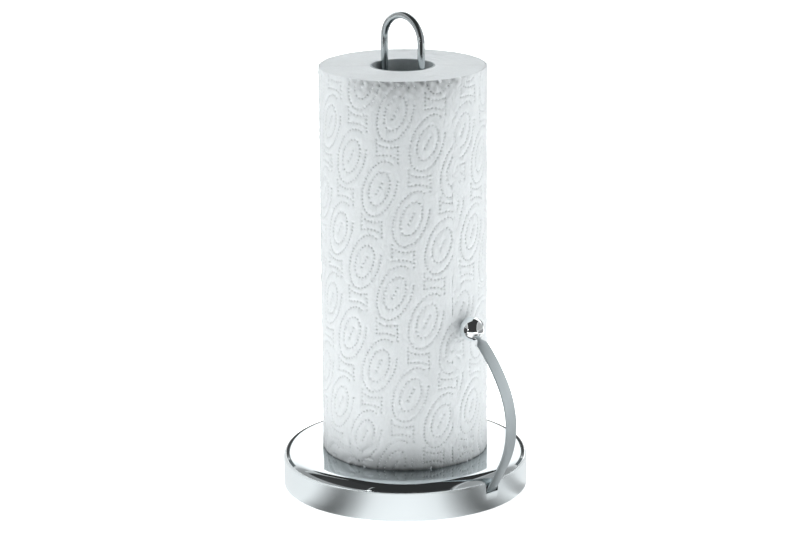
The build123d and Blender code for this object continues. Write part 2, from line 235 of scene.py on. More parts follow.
class Graph:
    """A node tree that is being written."""

    def __init__(self, tree):
        self.tree = tree

    def add(self, kind, settings=None, values=None, output=0):
        """Add a node: its settings first, then the values or links of its sockets."""
        node = self.tree.nodes.new(kind)
        for name, value in (settings or {}).items():
            setattr(node, name, value)
        for name, value in (values or {}).items():
            self.feed(node.inputs[name], value)
        return Wire(self, node.outputs[output]) if node.outputs else None

    def feed(self, socket, value):
        """Link a wire, or each of a list of wires, to a socket, or set its value."""
        for item in value if isinstance(value, list) else [value]:
            if isinstance(item, Wire):
                self.tree.links.new(item.socket, socket)
            else:
                socket.default_value = item

    def math(self, operation, *values):
        """One Math node."""
        return self.add("ShaderNodeMath", {"operation": operation}, dict(enumerate(values)))

    def vector_math(self, operation, *values, output=0, **named):
        """One Vector Math node."""
        values = {**dict(enumerate(values)), **named}
        return self.add("ShaderNodeVectorMath", {"operation": operation}, values, output)

    def geometry(self, kind, values=None, **settings):
        """One Geometry Nodes node, without the start of its type's name."""
        return self.add("GeometryNode" + kind, settings, values)

    def between(self, low, high, value):
        """0 below low, 1 above high, and a smooth rise in between."""
        settings = {"interpolation_type": "SMOOTHSTEP"}
        return self.add("ShaderNodeMapRange", settings, {"Value": value, "From Min": low, "From Max": high})

    def vector(self, x, y, z):
        """A vector from three wires or numbers."""
        return self.add("ShaderNodeCombineXYZ", None, {"X": x, "Y": y, "Z": z})

    def place(self):
        """Object coordinates."""
        return self.add("ShaderNodeTexCoord", output="Object")

    def stretched(self, x, y, z):
        """Object coordinates, scaled along each axis."""
        return self.add("ShaderNodeMapping", None, {"Vector": self.place(), "Scale": (x, y, z)})

    def read(self, attribute):
        """The value of a mesh attribute."""
        return self.add("ShaderNodeAttribute", {"attribute_name": attribute}, output="Fac")

    def noise(self, place, detail=2.0, scale=1.0, roughness=0.5):
        """A noise pattern from 0 to 1 at a place."""
        values = {"Vector": place, "Scale": scale, "Detail": detail, "Roughness": roughness}
        return self.add("ShaderNodeTexNoise", None, values)

    def blend(self, factor, low, high):
        """A colour between two others."""
        values = {0: factor, 6: (*low, 1), 7: (*high, 1)}
        return self.add("ShaderNodeMix", {"data_type": "RGBA"}, values, output=2)


# ---- finishes --------------------------------------------------------------------------------------


class Finish:
    """A material with one Principled shader, which starts with the uniform values of its sockets."""

    def __init__(self, name, **fixed):
        self.material = bpy.data.materials.new(name)
        self.material.use_nodes = True
        self.graph = Graph(self.material.node_tree)
        self.shader = self.material.node_tree.nodes["Principled BSDF"]
        self.set(**fixed)

    def set(self, **values):
        """Set or link sockets of the shader, by their names with underscores."""
        for socket, value in values.items():
            self.graph.feed(self.shader.inputs[socket.replace("_", " ")], value)

    def noise(self, x, y, z, detail=2.0, roughness=0.5):
        """A noise pattern on object coordinates, with so many waves a metre along each axis."""
        return self.graph.noise(self.graph.stretched(x, y, z), detail=detail, roughness=roughness)

    def relief(self, height, distance, strength=0.5):
        """Lay a fine height pattern on the surface."""
        values = {"Height": height, "Distance": distance, "Strength": strength}
        self.set(Normal=self.graph.add("ShaderNodeBump", None, values))
        return self.material


def shaded(colour, share):
    """A colour made darker or lighter."""
    return tuple(part * share for part in colour)


def shell_steel(base):
    """Mirror-polished top and shoulder, and a side wall with a brush grain round the base, whose colour is
    painted lighter than the top's.
    """
    steel = Finish("shell_steel", Metallic=1.0)
    height = steel.graph.add("ShaderNodeSeparateXYZ", None, {0: steel.graph.place()}).output("Z")
    low, high = base.top - 1.1 * base.shoulder, base.top - 0.6 * base.shoulder
    brushed_and_painted_lighter = 1 - steel.graph.between(low, high, height)
    grain = steel.noise(14, 14, 5200, detail=3.0)
    swirl = steel.noise(9, 9, 9)
    # Painted light: the side wall's colour is the steel made 1.3 times lighter.
    steel.set(
        Roughness=0.045 + 0.03 * swirl + brushed_and_painted_lighter * (0.2 + 0.12 * grain),
        Base_Color=steel.graph.blend(brushed_and_painted_lighter, base.steel, shaded(base.steel, 1.3)),
    )
    return steel.relief(grain * brushed_and_painted_lighter, 0.012 * MM)


def wire_steel(spindle):
    """Bright drawn wire, with faint lines along it."""
    steel = Finish("wire_steel", Metallic=1.0)
    lines = steel.noise(2600, 2600, 30, detail=3.0)
    steel.set(
        Roughness=0.09 + 0.09 * lines,
        Base_Color=steel.graph.blend(lines, spindle.steel, shaded(spindle.steel, 0.9)),
    )
    return steel.relief(lines, 0.01 * MM, 0.4)


def satin_steel(arm):
    """Blade steel, ground along its length."""
    steel = Finish("satin_steel", Metallic=1.0)
    lines = steel.noise(45, 3400, 45, detail=4.0, roughness=0.6)
    cloud = steel.noise(70, 70, 40)
    shade = 0.6 * lines + 0.4 * cloud
    steel.set(
        Roughness=0.34 + 0.16 * lines,
        Base_Color=steel.graph.blend(shade, shaded(arm.blade, 1.1), shaded(arm.blade, 0.86)),
    )
    return steel.relief(lines, 0.02 * MM)


def ball_chrome(arm):
    """Mirror chrome, with the faint haze that handling leaves."""
    chrome = Finish("ball_chrome", Metallic=1.0)
    haze = chrome.noise(160, 160, 160, detail=3.0)
    chrome.set(
        Roughness=0.015 + 0.03 * haze,
        Base_Color=chrome.graph.blend(haze, arm.chrome, shaded(arm.chrome, 0.95)),
    )
    return chrome.material


def towel_paper(paper, name, painted_shade_by_attribute):
    """Soft white tissue: fibres and cloudy thickness, and, when the attribute is read, painted shade: darker
    in the embossed dots, along the crumpled top and low on the front, and a painted contact shadow at the
    bottom edge.
    """
    tissue = Finish(name, Specular_IOR_Level=0.2, Sheen_Weight=0.15, Roughness=0.95)
    fibres = tissue.noise(1900, 1900, 1300, detail=4.0, roughness=0.65)
    wrinkles = tissue.noise(520, 520, 380, detail=4.0, roughness=0.6)
    shade = 0.06 * fibres + 0.16 * wrinkles + 0.1 * tissue.noise(150, 150, 110)
    # Painted shade, stored per point on the sheets, darkens the colour here.
    if painted_shade_by_attribute:
        shade = shade + tissue.graph.read("pressed")
    tissue.set(Base_Color=tissue.graph.blend(shade, paper.white, shaded(paper.white, 0.3)))
    return tissue.relief(0.2 * fibres + wrinkles, 0.55 * MM, 0.9)


def grey_board(paper):
    """Recycled board with flecks."""
    board = Finish("grey_board", Roughness=0.92, Specular_IOR_Level=0.25)
    flecks = board.noise(900, 900, 900, detail=5.0, roughness=0.7)
    shade = 0.6 * flecks + 0.4 * board.noise(90, 90, 45)
    colour = board.graph.blend(shade, shaded(paper.board, 1.25), shaded(paper.board, 0.72))
    board.set(Base_Color=colour)
    return board.relief(flecks, 0.12 * MM)


def grained(name, light, dark, scale, depth, roughness, metallic=0.0):
    """A plain material with an even grain in its colour and relief."""
    plain = Finish(name, Roughness=roughness, Metallic=metallic)
    grain = plain.noise(scale, scale, scale, detail=4.0, roughness=0.6)
    plain.set(Base_Color=plain.graph.blend(grain, light, dark))
    return plain.relief(grain, depth, 0.6)


# ---- mesh making -----------------------------------------------------------------------------------


def new_piece(name, vertices, faces, materials, smooth_below=35):
    """A mesh object at the origin, smooth except where its faces meet at a larger angle."""
    mesh = bpy.data.meshes.new(name)
    mesh.from_pydata([tuple(v) for v in vertices], [], [tuple(int(i) for i in f) for f in faces])
    for material in materials:
        mesh.materials.append(material)
    mesh.validate()
    piece = bpy.data.objects.new(name, mesh)
    bpy.context.scene.collection.objects.link(piece)
    return resmoothed(piece, smooth_below)


def hand_over(piece, body, slot, *nodes):
    """Tie a finished piece to its body, and hide the CAD nodes it stands for. The slot is not used."""
    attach(piece, body)
    if nodes:
        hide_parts(*nodes)


def settled(piece):
    """Turn a piece's evaluated shape into its plain mesh, and drop its modifiers."""
    evaluated = piece.evaluated_get(bpy.context.evaluated_depsgraph_get())
    mesh = bpy.data.meshes.new_from_object(evaluated)
    piece.modifiers.clear()
    piece.data = mesh
    mesh.name = piece.name
    return piece


def soften(piece, width):
    """Round a piece's hard edges."""
    bevel = piece.modifiers.new("edges", "BEVEL")
    bevel.width, bevel.segments, bevel.limit_method = width, 2, "ANGLE"
    bevel.angle_limit = radians(40)
    bevel.use_clamp_overlap = True


def resmoothed(piece, smooth_below):
    """Shade a piece smooth except where its faces meet at a larger angle."""
    piece.data.shade_smooth()
    piece.data.set_sharp_from_angle(angle=radians(smooth_below))
    return piece


def welded(piece, distance=0.001 * MM):
    """Merge a piece's doubled points and turn its faces outward."""
    shape = bmesh.new()
    shape.from_mesh(piece.data)
    bmesh.ops.remove_doubles(shape, verts=shape.verts, dist=distance)
    bmesh.ops.dissolve_degenerate(shape, edges=shape.edges, dist=distance)
    bmesh.ops.recalc_face_normals(shape, faces=shape.faces)
    shape.to_mesh(piece.data)
    shape.free()
    return piece


def mark(piece, name, values):
    """Store a number at each point of a piece, for its finish to read."""
    attribute = piece.data.attributes.new(name, "FLOAT", "POINT")
    attribute.data.foreach_set("value", values.astype(np.float32))


def grid_faces(rows, columns, round_columns=True, round_rows=False):
    """Quads of a grid of points, which may close on itself either way."""
    faces = []
    for row in range(rows if round_rows else rows - 1):
        here, above = row * columns, (row + 1) % rows * columns
        for left in range(columns if round_columns else columns - 1):
            right = (left + 1) % columns
            faces.append((here + left, here + right, above + right, above + left))
    return faces


def round_angles(count):
    """Evenly spaced angles of a full turn."""
    return [2 * pi * i / count for i in range(count)]


def turned(profile, angles):
    """Points and quads of a (radius, height) outline turned about Z. A closed one repeats its start."""
    closed = profile[0] == profile[-1]
    outline = profile[:-1] if closed else profile
    points = [(r * cos(a), r * sin(a), z) for r, z in outline for a in angles]
    return points, grid_faces(len(outline), len(angles), round_rows=closed)


def arc_points(centre, radius, start, end, steps):
    """Points of an arc as (radius, height) pairs, angles in degrees from the radial direction."""
    angles = [radians(start + (end - start) * i / steps) for i in range(steps + 1)]
    return [(centre[0] + radius * cos(a), centre[1] + radius * sin(a)) for a in angles]


def walk(x, z, heading, runs):
    """Stations (x, z, heading, distance) along straight and curved runs of (length, turn, steps)."""
    stations, gone = [(x, z, heading, 0.0)], 0.0
    for run, bend, steps in runs:
        part, step_bend = run / steps, bend / steps
        chord = part * (sin(step_bend / 2) / (step_bend / 2) if step_bend else 1.0)
        for _ in range(steps):
            middle = heading + step_bend / 2
            x, z = x + chord * sin(middle), z + chord * cos(middle)
            heading, gone = heading + step_bend, gone + part
            stations.append((x, z, heading, gone))
    return stations


def swept(stations, section):
    """Points and faces of a section carried along stations in the XZ plane. section(distance) gives
    points as (outward, sideways), and both ends are capped."""
    points, count = [], len(section(0.0))
    for x, z, heading, distance in stations:
        for outward, sideways in section(distance):
            points.append((x + outward * cos(heading), sideways, z - outward * sin(heading)))
    faces = grid_faces(len(stations), count)
    last = (len(stations) - 1) * count
    return points, faces + [tuple(range(count - 1, -1, -1)), tuple(range(last, last + count))]


def rounded_bar(thickness, width, corner, steps=3):
    """The section of a flat bar with rounded edges, as (outward, sideways) points."""
    points = []
    for quarter, (out, side) in enumerate(((1, 1), (-1, 1), (-1, -1), (1, -1))):
        centre = (out * (thickness / 2 - corner), side * (width / 2 - corner))
        points += arc_points(centre, corner, 90 * quarter, 90 * (quarter + 1), steps)
    return points


def settings():
    """The holder's settings in this scene."""
    return bpy.context.scene.holder


# ---- Geometry Nodes --------------------------------------------------------------------------------


def new_tree(name, **inputs):
    """A Geometry Nodes tree and the wires of its inputs, whose names are listed by kind of socket."""
    tree = bpy.data.node_groups.new(name, "GeometryNodeTree")
    labels = [(label, kind) for kind, group in inputs.items() for label in group.split()]
    for label, kind in labels:
        tree.interface.new_socket(label, in_out="INPUT", socket_type="NodeSocket" + kind)
    tree.interface.new_socket("Geometry", in_out="OUTPUT", socket_type="NodeSocketGeometry")
    graph = Graph(tree)
    start = tree.nodes.new("NodeGroupInput")
    return graph, {label: Wire(graph, start.outputs[label]) for label, _ in labels}


def grown(name, graph, result, **values):
    """Run a finished tree on an empty mesh, with its inputs set by their sockets' identifiers."""
    graph.add("NodeGroupOutput", None, {0: result})
    piece = bpy.data.objects.new(name, bpy.data.meshes.new(name))
    bpy.context.scene.collection.objects.link(piece)
    modifier = piece.modifiers.new("grow", "NODES")
    modifier.node_group = graph.tree
    for item in graph.tree.interface.items_tree:
        if item.in_out == "INPUT":
            modifier[item.identifier] = values[item.name.lower()]
    return settled(piece)


def points_along(graph, curve, pitch):
    """Evenly spaced points on a curve."""
    return graph.geometry("CurveToPoints", {0: curve, "Length": pitch}, mode="LENGTH")


def oval(graph, short, long, share, start, lean, pitch):
    """Points along an open oval: share of its whole length, from an angle, leaning to the right."""
    circle = graph.geometry("CurvePrimitiveCircle", {"Resolution": 120, "Radius": 1.0})
    part = graph.geometry("TrimCurve", {0: circle, "End": share})
    spun = graph.geometry("Transform", {0: part, "Rotation": (0, 0, radians(start))})
    values = {0: spun, "Scale": (short, long, 1), "Rotation": graph.vector(0, 0, 0 - lean)}
    return points_along(graph, graph.geometry("Transform", values), pitch)


def motif(graph, pitch, lean, down):
    """Points of two nested ovals round a dash, and of the waisted cell half a step below them."""
    dash = {"Start": (-1.9 * MM, -3.6 * MM, 0), "End": (1.9 * MM, 3.6 * MM, 0)}
    rings = [
        oval(graph, 10.6 * MM, 19.0 * MM, 0.86, 78, lean, pitch),
        oval(graph, 6.3 * MM, 11.6 * MM, 0.93, 250, lean, pitch),
        points_along(graph, graph.geometry("CurvePrimitiveLine", dash), pitch),
    ]
    cell = []
    for side in (-MM, MM):
        column = {"Start": (6.9 * side, -7.4 * side, 0), "End": (6.9 * side, 3.0 * side, 0)}
        bow = {
            "Start": (-6.9 * side, 4.9 * side, 0),
            "Middle": (-1.0 * side, 1.6 * side, 0),
            "End": (5.0 * side, 2.9 * side, 0),
        }
        cell.append(points_along(graph, graph.geometry("CurvePrimitiveLine", column), pitch))
        cell.append(points_along(graph, graph.geometry("CurveQuadraticBezier", bow), pitch))
    joined = graph.geometry("JoinGeometry", {0: cell})
    below = graph.vector_math("SCALE", down, Scale=0.5)
    moved = graph.geometry("Transform", {0: joined, "Translation": below})
    return graph.geometry("JoinGeometry", {0: [*rings, moved]})


def copied(graph, points, place, instance):
    """Copies of an instance on a mesh's points, once these are moved to their place."""
    spread = graph.geometry("SetPosition", {0: points, "Position": place})
    copies = graph.geometry("InstanceOnPoints", {"Points": spread, "Instance": instance})
    return graph.geometry("RealizeInstances", {0: copies})


def embossing_pins(paper, origin):
    """Places of the embossing pins on a flat sheet: the motif, repeated on a leaning lattice."""
    graph, wires = new_tree("Embossing pins", Float="Pitch Lean", Vector="Across Down Origin", Int="Reach")
    count = wires["Reach"] * 2 + 1
    lattice = graph.geometry("MeshGrid", {"Vertices X": count, "Vertices Y": count})
    index = graph.geometry("InputIndex")
    column = graph.math("FLOOR", index / count) - wires["Reach"]
    row = index % count - wires["Reach"]
    across = graph.vector_math("SCALE", wires["Across"], Scale=column)
    down = graph.vector_math("SCALE", wires["Down"], Scale=row)
    place = graph.vector_math("ADD", graph.vector_math("ADD", across, down), wires["Origin"])
    repeated = motif(graph, wires["Pitch"], wires["Lean"], wires["Down"])
    result = graph.geometry("PointsToVertices", {0: copied(graph, lattice, place, repeated)})
    pins = grown(
        "pins", graph, result, pitch=paper.pin_pitch, lean=paper.lean, across=paper.step_across,
        down=paper.step_down, origin=(*origin, 0.0), reach=MOTIF_REACH,
    )
    places = np.array([v.co[:2] for v in pins.data.vertices])
    bpy.data.objects.remove(pins)
    return places


def paper_layers(paper, finish, inner, outer):
    """The edges of the wound paper on both end faces: one spiral strip, a little uneven."""
    graph, wires = new_tree("Paper layers", Float="Turns Inner Outer Top Bottom Strip Depth Unevenness")
    values = {
        "Resolution": 88, "Rotations": wires["Turns"], "Start Radius": wires["Inner"],
        "End Radius": wires["Outer"], "Height": 0.0, "Reverse": True,
    }
    spiral = graph.geometry("CurveSpiral", values)
    sides = {"Width": wires["Strip"], "Height": wires["Depth"]}
    section = graph.geometry("CurvePrimitiveQuadrilateral", sides)
    ends = []
    for height, inward in ((wires["Top"], -0.5), (wires["Bottom"], 0.5)):
        x = graph.add("ShaderNodeSeparateXYZ", None, {0: graph.geometry("InputPosition")})
        y = x.output("Y")
        radius = graph.math("SQRT", x * x + y * y)
        folds = graph.noise(graph.vector(x * 45, y * 45, radius * 1900), detail=3.0, roughness=0.7)
        level = height + wires["Depth"] * inward + (folds - 0.5) * wires["Unevenness"]
        placed = graph.geometry("SetPosition", {0: spiral, "Offset": graph.vector(0, 0, level)})
        strip = graph.geometry("SetCurveNormal", {0: placed}, mode="Z_UP")
        ends.append(graph.geometry("CurveToMesh", {0: strip, 1: section, "Fill Caps": True}))
    real = graph.geometry("RealizeInstances", {0: graph.geometry("JoinGeometry", {0: ends})})
    return grown(
        "paper_layers", graph, graph.geometry("SetMaterial", {0: real, "Material": finish}),
        turns=float(paper.turns), inner=inner, outer=outer, top=ROLL_HIGH.z,
        bottom=ROLL_LOW.z + 0.2 * MM, strip=0.34 * MM, depth=1.6 * MM, unevenness=0.5 * MM,
    )


def grip_studs(base, finish):
    """Low round studs on the underside of the grip pad."""
    graph, wires = new_tree("Grip studs", Float="Stud Step Level Height", Int="Count")
    # Points further and further out, each turned by the golden angle, are evenly spaced.
    line = graph.geometry("MeshLine", {"Count": wires["Count"], "Offset": (0, 0, 0)}, mode="OFFSET")
    index = graph.geometry("InputIndex")
    radius = graph.math("SQRT", index + 0.5) * wires["Step"]
    angle = index * GOLDEN_ANGLE
    x, y = (radius * graph.math(operation, angle) for operation in ("COSINE", "SINE"))
    values = {"Vertices": 12, "Radius Top": wires["Stud"], "Radius Bottom": wires["Stud"] * 0.8}
    stud = graph.geometry("MeshCone", {**values, "Depth": wires["Height"]})
    real = copied(graph, line, graph.vector(x, y, wires["Level"]), stud)
    return grown(
        "grip_studs", graph, graph.geometry("SetMaterial", {0: real, "Material": finish}),
        stud=base.stud, count=320, step=3.95 * MM, level=0.0, height=0.8 * MM,
    )


# ---- embossed sheets -------------------------------------------------------------------------------


def tree_of(places):
    """A search tree of flat places."""
    tree = KDTree(len(places))
    for i, (along, up) in enumerate(places):
        tree.insert((along, up, 0), i)
    tree.balance()
    return tree


def nearest(tree, places):
    """Distance from each place to the nearest one in a tree."""
    return np.array([tree.find((along, up, 0))[2] for along, up in places])


def apart(places, gap):
    """Places without those that lie closer than gap to an earlier one."""
    kept, cells = [], {}
    for along, up in places:
        home = (int(along // gap), int(up // gap))
        near = [
            p
            for i in (-1, 0, 1)
            for j in (-1, 0, 1)
            for p in cells.get((home[0] + i, home[1] + j), ())
        ]
        if all(hypot(along - p[0], up - p[1]) >= gap for p in near):
            kept.append((along, up))
            cells.setdefault(home, []).append((along, up))
    return np.array(kept)


def border_of(width, height, step):
    """Evenly spaced points round a rectangle, counterclockwise from the origin."""
    corners = [(0, 0), (width, 0), (width, height), (0, height), (0, 0)]
    counts = [max(2, round(side / step)) for side in (width, height)] * 2
    return np.array(
        [
            (a[0] + (b[0] - a[0]) * i / n, a[1] + (b[1] - a[1]) * i / n)
            for a, b, n in zip(corners, corners[1:], counts)
            for i in range(n)
        ]
    )


def filled(width, height, step, margin):
    """Points of a staggered grid inside a rectangle."""
    row_step = step * ROW_SHARE
    rows, columns = int((height - 2 * margin) / row_step), int((width - 2 * margin) / step)
    return np.array(
        [
            (margin + (i + 0.5 * (j % 2)) * step, margin + j * row_step)
            for j in range(rows + 1)
            for i in range(columns)
        ]
    )


def well_inside(places, width, height, margin):
    """Those places that lie further than a margin inside a rectangle."""
    low, high = places > margin, places < (width - margin, height - margin)
    return places[low.all(1) & high.all(1)]


def triangles_of(points):
    """Triangles over flat points, counterclockwise."""
    result = delaunay_2d_cdt([Vector(p) for p in points * 1000], [], [], 0, 1e-6)
    if len(result[0]) != len(points):
        raise RuntimeError("the sheet's points are too close together to join up")
    faces = np.array(result[2])
    a, b, c = (points[faces[:, i]] for i in range(3))
    area = (b[:, 0] - a[:, 0]) * (c[:, 1] - a[:, 1]) - (b[:, 1] - a[:, 1]) * (c[:, 0] - a[:, 0])
    faces[area < 0] = faces[area < 0][:, ::-1]
    return faces[np.abs(area) > 1e-12]


def waves(along, up, rng, count, shortest, longest, slant=1.0):
    """A sum of random waves, about 1 high. Slant 0 keeps every crest upright."""
    total = np.zeros(len(along))
    for _ in range(count):
        size = shortest * (longest / shortest) ** rng.random()
        angle = (rng.random() - 0.5) * pi * slant
        phase = rng.random() * 2 * pi
        total += np.sin((along * cos(angle) + up * sin(angle)) * 2 * pi / size + phase)
    return total / count**0.5


def creases(along, up, centre, reach, rays, rng):
    """Folds that run out from a point, strongest near it."""
    across, rise = along - centre[0], up - centre[1]
    angle, away = np.arctan2(rise, across), np.hypot(across, rise)
    folds = np.sin(angle * rays + 2 * pi * rng.random()) + np.sin(angle * (rays - 2) + 2 * pi * rng.random())
    return folds * np.exp(-((away / reach) ** 2)) * (1 - np.exp(-((away / (0.25 * reach)) ** 2)))


def dented_layout(paper, width, height, origin, rng):
    """The flat points of a sheet's face inside its border, and a search tree of its dents."""
    pins = well_inside(embossing_pins(paper, origin), width, height, 1.3 * paper.pin_radius)
    pins = apart(pins, 1.7 * paper.pin_radius)
    pins = pins + rng.normal(0, 0.05 * MM, pins.shape)
    rings = [pins]
    for share, count in ((0.5, 6), (1.0, 7)):
        for i in range(count):
            angle = 2 * pi * (i + share) / count
            rings.append(pins + share * paper.pin_radius * np.array((cos(angle), sin(angle))))
    dents = tree_of(pins)
    filler = filled(width, height, 1.55 * MM, 1.0 * MM)
    filler = filler[nearest(dents, filler) > 1.6 * paper.pin_radius]
    inner = apart(np.concatenate([*rings, filler]), 0.28 * MM)
    return well_inside(inner, width, height, 0.3 * MM), dents


def fade(distance, reach):
    """1 at no distance, and less and less beyond the reach."""
    return np.exp(-distance / reach)


def embossed_sheet(name, paper, finish, start, sweep, radius, origin, crumples, crumpled_and_shaded_at, sink, seed):
    """One embossed sheet of paper, closed and sheet-thick, rolled to a radius from a start heading.
    The argument after crumples says how far along the sheet its front part lies, where it is crumpled most
    and darkened by painted shade."""
    rng = np.random.default_rng(seed)
    width, height = radius * sweep, ROLL_HIGH.z - ROLL_LOW.z
    inner, dents = dented_layout(paper, width, height, origin, rng)
    border = border_of(width, height, 1.3 * MM)
    front = np.concatenate([border, inner])
    back = np.concatenate([border, filled(width, height, 6 * MM, 4 * MM)])
    along, up = front.T
    down = height - up
    away = nearest(dents, front)
    dent = np.clip(1 - (away / paper.pin_radius) ** 2, 0, 1) ** 2
    # Weight of the sheet's front part, which faces the camera: more crumples in its shape, and painted shade
    # in its colour.
    crumpled_and_shaded = np.exp(-(((along - crumpled_and_shaded_at) / (38 * MM)) ** 4))
    top_end = fade(down, 6.5 * MM)

    rise = paper.pillow * (1 - fade(away, 2.4 * MM)) - paper.pin_depth * dent
    rise += 0.12 * MM * waves(along, up, rng, 24, 9 * MM, 40 * MM)
    rise += 0.09 * MM * waves(along, up, rng, 30, 3 * MM, 8 * MM)
    ends = fade(np.minimum(up, down), 5 * MM)
    rise += 0.2 * MM * ends * waves(along, up, rng, 14, 3 * MM, 11 * MM, slant=0.5)
    crumple = waves(along, up, rng, 14, 2.6 * MM, 9 * MM, slant=0.8)
    rise += (0.25 + 0.45 * crumpled_and_shaded) * MM * top_end * crumple
    for centre, size, rays, strength in crumples:
        rise += strength * creases(along, up, centre, size, rays, rng)
    rise -= 0.4 * MM * (fade(down, 1.2 * MM) + fade(up, 0.8 * MM))
    rise = np.maximum(rise, -0.4 * MM) - sink * fade(along, 1.6 * MM)
    rise = np.minimum(rise, 0.8 * MM)
    back_rise = -paper.sheet * 0.75 - sink * fade(back[:, 0], 1.6 * MM)

    points = np.concatenate([rolled(front, rise, start, radius), rolled(back, back_rise, start, radius)])
    faces = list(triangles_of(front))
    faces += [tuple(len(front) + i for i in reversed(face)) for face in triangles_of(back)]
    around = len(border)
    for i in range(around):
        j = (i + 1) % around
        faces.append((j, i, len(front) + i, len(front) + j))
    piece = new_piece(name, points, faces, [finish], smooth_below=70)

    # Painted shade, stored per point for the paper's finish: darker in the embossed dots, along the crumpled
    # top of the front and over the front's upper part, darker towards the bottom (most on the front), and a
    # painted contact shadow along the bottom edge.
    grey = 0.3 * dent + crumpled_and_shaded * top_end * (0.45 + 0.35 * crumple)
    grey += 0.2 * crumpled_and_shaded * fade(down, 25 * MM)
    grey += (0.12 + 0.62 * crumpled_and_shaded) * fade(up, 7 * MM) + 0.8 * fade(up, 0.5 * MM)
    mark(piece, "pressed", np.concatenate([grey, np.zeros(len(back))]).clip(0, 1))
    return piece


def rolled(flat, rise, start, radius):
    """Flat places and their rise, rolled to a radius from a start heading. The roll winds inward."""
    angle = start + flat[:, 0] / radius
    out = radius + rise
    return np.stack([out * np.cos(angle), out * np.sin(angle), ROLL_LOW.z + flat[:, 1]], axis=1)


# ---- operators -------------------------------------------------------------------------------------


